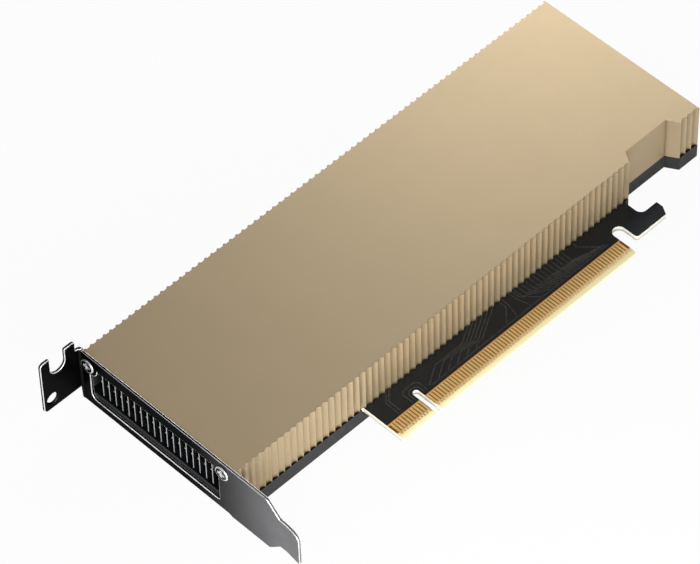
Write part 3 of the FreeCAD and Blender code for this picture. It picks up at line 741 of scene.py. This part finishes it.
# %% [markdown]
# ## The fins and their hooks
#
# The fins' wide sides get painted shade in near-black, and their cut edges show bare metal.
# Stamped fins keep their distance by small hooks folded from one onto the next. They show as
# ticks on each fin's front edge.

# %% Fins and their hooks
fins = working_copy("heatsink_fins")
for face in fins.faces:
    # painted shade: all faces but the front edges take the near-black finish
    face.material_index = int(abs(face.normal.x) < 0.9)
show(fins, "fins_with_painted_shade", [fin_metal, fin_side_shade], ["heatsink_fins"])

fin_count = 18
fin_thickness = 0.3 * mm
hook_low_z = 7.0 * mm
hook_side = 0.4 * mm
hook_reach = 1.2 * mm
fins_low, fins_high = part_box("heatsink_fins")
fin_pitch = (fins_high.y - fins_low.y - fin_thickness) / (fin_count - 1)
hooks = bmesh.new()
for index in range(fin_count):
    fin_y = fins_low.y + index * fin_pitch + fin_thickness
    add_block(hooks, (fins_low.x, fin_y, hook_low_z),
              (fins_low.x + hook_reach, fin_y + hook_side, hook_low_z + hook_side))
show(hooks, "fin_hooks", [fin_metal])

# %% [markdown]
# ## The floor
#
# The card lies on white paper. A plain white sheet would turn grey at the far end, so the eye
# sees mostly a glow of its own, with a small share of the real sheet left for the shadow. In
# reflections the paper shows at less than half that strength, which keeps the black pieces
# black. Everything else, such as the light that the sheet throws back, is ordinary white
# paper. The sheet lies a hair below the tray: two faces in one plane would flicker.

# %% Floor
floor_z = cad_low.z - 0.02 * mm
floor_reach = 6.0
floor_mesh = bpy.data.meshes.new("floor")
floor_mesh.from_pydata([(-floor_reach, -floor_reach, floor_z), (floor_reach, -floor_reach, floor_z),
                        (floor_reach, floor_reach, floor_z), (-floor_reach, floor_reach, floor_z)],
                       [], [(0, 1, 2, 3)])
floor = bpy.data.objects.new("floor", floor_mesh)
bpy.context.scene.collection.objects.link(floor)
print("floor height, mm:", round(floor_z / mm, 3))

# %% [markdown]
# The paper's material asks what kind of ray meets it and mixes the glow in by that.

# %% Paper
paper_white = 0.8
whiteness_for_eye = 0.95
whiteness_for_reflections = 0.4

paper = bpy.data.materials.new("white_floor")
paper.use_nodes = True
nodes, links = paper.node_tree.nodes, paper.node_tree.links
nodes.remove(nodes["Principled BSDF"])
diffuse = nodes.new("ShaderNodeBsdfDiffuse")
diffuse.inputs["Color"].default_value = (paper_white, paper_white, paper_white, 1)
glow = nodes.new("ShaderNodeEmission")
glow.inputs["Strength"].default_value = 1.0
path = nodes.new("ShaderNodeLightPath")


def scaled(value, factor):
    """The value times a fixed factor."""
    node = nodes.new("ShaderNodeMath")
    node.operation = "MULTIPLY"
    node.inputs[1].default_value = factor
    links.new(value, node.inputs[0])
    return node.outputs[0]


def larger(a, b):
    """The larger of two values."""
    node = nodes.new("ShaderNodeMath")
    node.operation = "MAXIMUM"
    links.new(a, node.inputs[0])
    links.new(b, node.inputs[1])
    return node.outputs[0]


reflected = larger(path.outputs["Is Glossy Ray"], path.outputs["Is Transmission Ray"])
share = larger(scaled(path.outputs["Is Camera Ray"], whiteness_for_eye),
               scaled(reflected, whiteness_for_reflections))
blend = nodes.new("ShaderNodeMixShader")
links.new(share, blend.inputs[0])
links.new(diffuse.outputs[0], blend.inputs[1])
links.new(glow.outputs[0], blend.inputs[2])
links.new(blend.outputs[0], nodes["Material Output"].inputs["Surface"])
floor_mesh.materials.append(paper)
print("paper, for the eye and in reflections:", whiteness_for_eye, whiteness_for_reflections)

# %% [markdown]
# ## The world
#
# A white world gives an even light from all sides. The eye sees it at full white above the
# floor's edge, while the pieces are lit by much less of it, so that the lamps can shape them.

# %% World
world_light = 0.28
world = bpy.data.worlds.new("studio")
bpy.context.scene.world = world
world.use_nodes = True
nodes, links = world.node_tree.nodes, world.node_tree.links
background = nodes["Background"]
path = nodes.new("ShaderNodeLightPath")
strength = nodes.new("ShaderNodeMapRange")
strength.inputs["To Min"].default_value = world_light
strength.inputs["To Max"].default_value = 1.0
links.new(path.outputs["Is Camera Ray"], strength.inputs["Value"])
links.new(strength.outputs["Result"], background.inputs["Strength"])
background.inputs["Color"].default_value = (1, 1, 1, 1)
print("world light on the pieces:", world_light)

# %% [markdown]
# ## The lamps
#
# Three square softboxes do the shaping, each named by where it stands. The far one makes the
# cover brighter towards its far end. The front one is low and lights the flutes, brighter near
# the bracket. The small edge light stands where the bracket's top edge mirrors it to the eye.


# %% Lamps
def softbox(name, direction, distance, size, power):
    """A square lamp of this size and power, seen from the aim in a direction, facing it."""
    lamp = bpy.data.lights.new(name, "AREA")
    lamp.shape = "SQUARE"
    lamp.size = size
    lamp.energy = power
    holder = bpy.data.objects.new(name, lamp)
    direction = Vector(direction).normalized()
    holder.location = aim + direction * distance
    holder.rotation_euler = (-direction).to_track_quat("-Z", "Y").to_euler()
    bpy.context.scene.collection.objects.link(holder)
    print("lamp:", name, power, "W")


softbox("far_softbox", (0.75, 0.525, 0.435), distance=0.345, size=0.2, power=0.475)
softbox("front_softbox", (-0.5, -0.85, 0.12), distance=0.26, size=0.2, power=1.3)
softbox("edge_light", (-0.765, 0.467, 0.444), distance=0.6, size=0.15, power=0.5)

# %% [markdown]
# ## The view transform
#
# The Standard view keeps each colour about as it is written.

# %% Finish
bpy.context.scene.view_settings.view_transform = "Standard"
